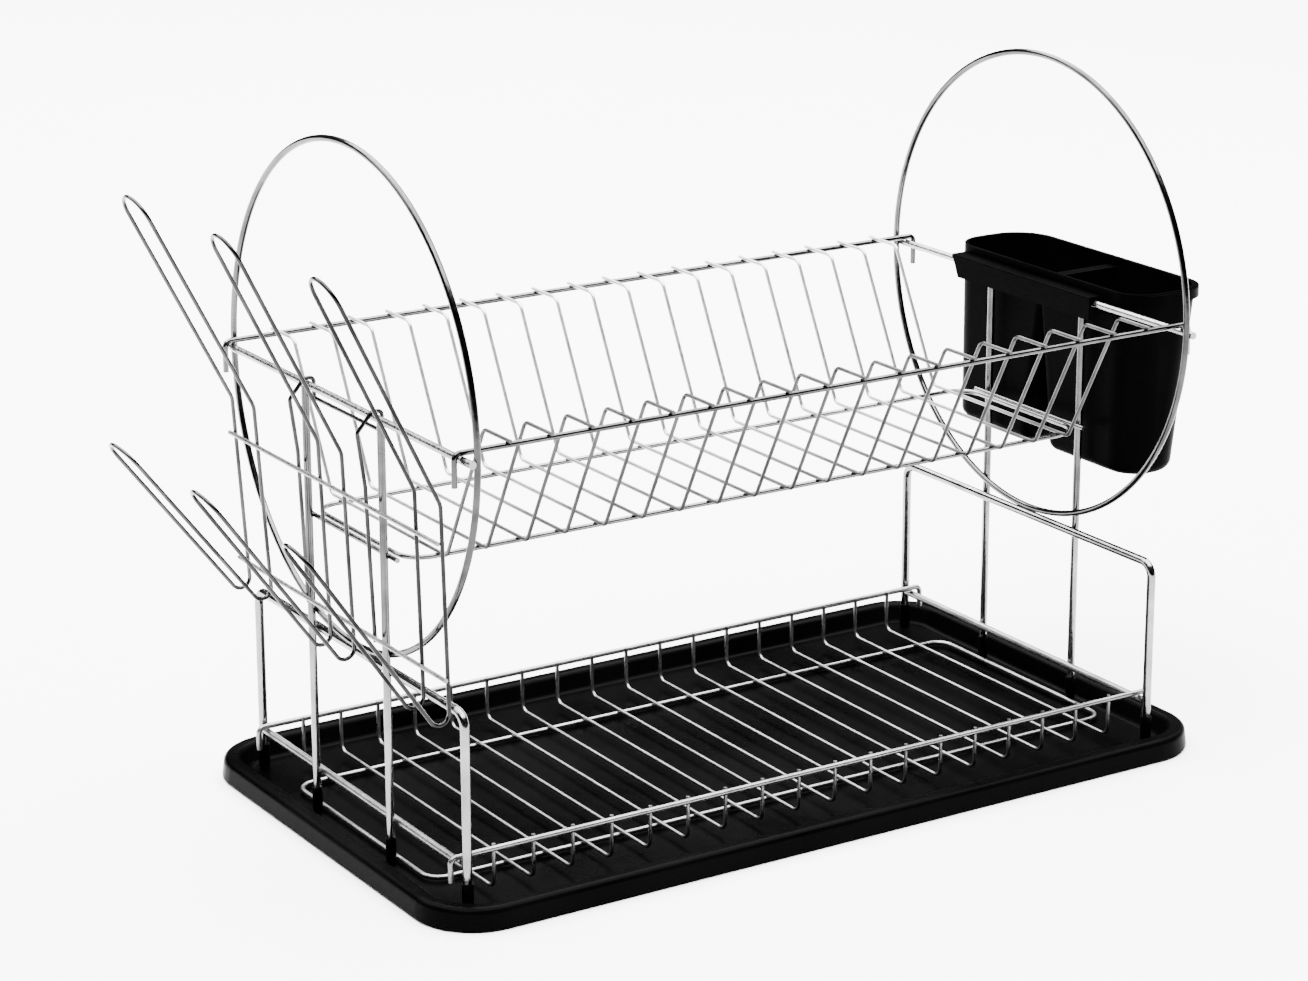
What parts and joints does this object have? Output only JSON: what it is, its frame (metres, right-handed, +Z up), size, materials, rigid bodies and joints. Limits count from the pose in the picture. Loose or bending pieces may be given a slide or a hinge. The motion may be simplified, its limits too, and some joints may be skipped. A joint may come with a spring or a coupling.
{
  "type": "dish drying rack",
  "caption": "Two-tier wire dish drying rack with round plate hoops at the ends, standing in a drip tray, with hanging cup hooks and a cutlery cup.",
  "frame": {"origin": "centre of the drip tray's underside", "axes": "+X towards the end that carries the cutlery cup, +Y towards the back, +Z up"},
  "size_m": [0.6997, 0.333, 0.4456],
  "materials": {
    "chrome_wire": "bright chrome plating on steel wire",
    "tray_plastic": "semi-gloss black, faintly textured floor",
    "cup_plastic": "satin black moulding",
    "cap_rubber": "smooth black"
  },
  "bodies": {
    "drip_tray": {"drip_tray": "tray_plastic"},
    "rack_frames": {"left_hoop": "chrome_wire", "left_leg_frame": "chrome_wire", "left_top_rail": "chrome_wire", "left_front_upright": "chrome_wire", "left_back_upright": "chrome_wire", "left_cross_brace": "chrome_wire", "left_end_rail": "chrome_wire", "left_front_leg_cap": "cap_rubber", "left_back_leg_cap": "cap_rubber", "left_front_upright_cap": "cap_rubber", "left_back_upright_cap": "cap_rubber", "right_hoop": "chrome_wire", "right_leg_frame": "chrome_wire", "right_top_rail": "chrome_wire", "right_front_upright": "chrome_wire", "right_back_upright": "chrome_wire", "right_cross_brace": "chrome_wire", "right_end_rail": "chrome_wire", "right_front_leg_cap": "cap_rubber", "right_back_leg_cap": "cap_rubber", "right_front_upright_cap": "cap_rubber", "right_back_upright_cap": "cap_rubber"},
    "upper_basket": {"upper_front_rail": "chrome_wire", "upper_back_rail": "chrome_wire", "upper_bottom_loop": "chrome_wire", "upper_cross_wires": "chrome_wire"},
    "lower_basket": {"lower_front_rail": "chrome_wire", "lower_back_rail": "chrome_wire", "lower_bottom_loop": "chrome_wire", "lower_cross_wires": "chrome_wire"},
    "cup_hook_rack": {"cup_hook_front": "chrome_wire", "cup_hook_middle": "chrome_wire", "cup_hook_back": "chrome_wire", "hook_hanger": "chrome_wire", "hook_upper_bar": "chrome_wire", "hook_lower_bar": "chrome_wire"},
    "cutlery_cup": {"cutlery_cup": "cup_plastic"}
  },
  "joints": [
    {"name": "rack_lift", "type": "slide", "parent": "drip_tray", "child": "rack_frames", "axis": [0, 0, 1], "range_m": [0, 0.06]},
    {"name": "upper_basket_lift", "type": "slide", "parent": "rack_frames", "child": "upper_basket", "axis": [0, 0, 1], "range_m": [0, 0.02]},
    {"name": "lower_basket_lift", "type": "slide", "parent": "rack_frames", "child": "lower_basket", "axis": [0, 0, 1], "range_m": [0, 0.02]},
    {"name": "hook_rack_lift", "type": "slide", "parent": "rack_frames", "child": "cup_hook_rack", "axis": [0, 0, 1], "range_m": [0, 0.024]},
    {"name": "cutlery_cup_lift", "type": "slide", "parent": "rack_frames", "child": "cutlery_cup", "axis": [0, 0, 1], "range_m": [0, 0.025]}
  ]
}
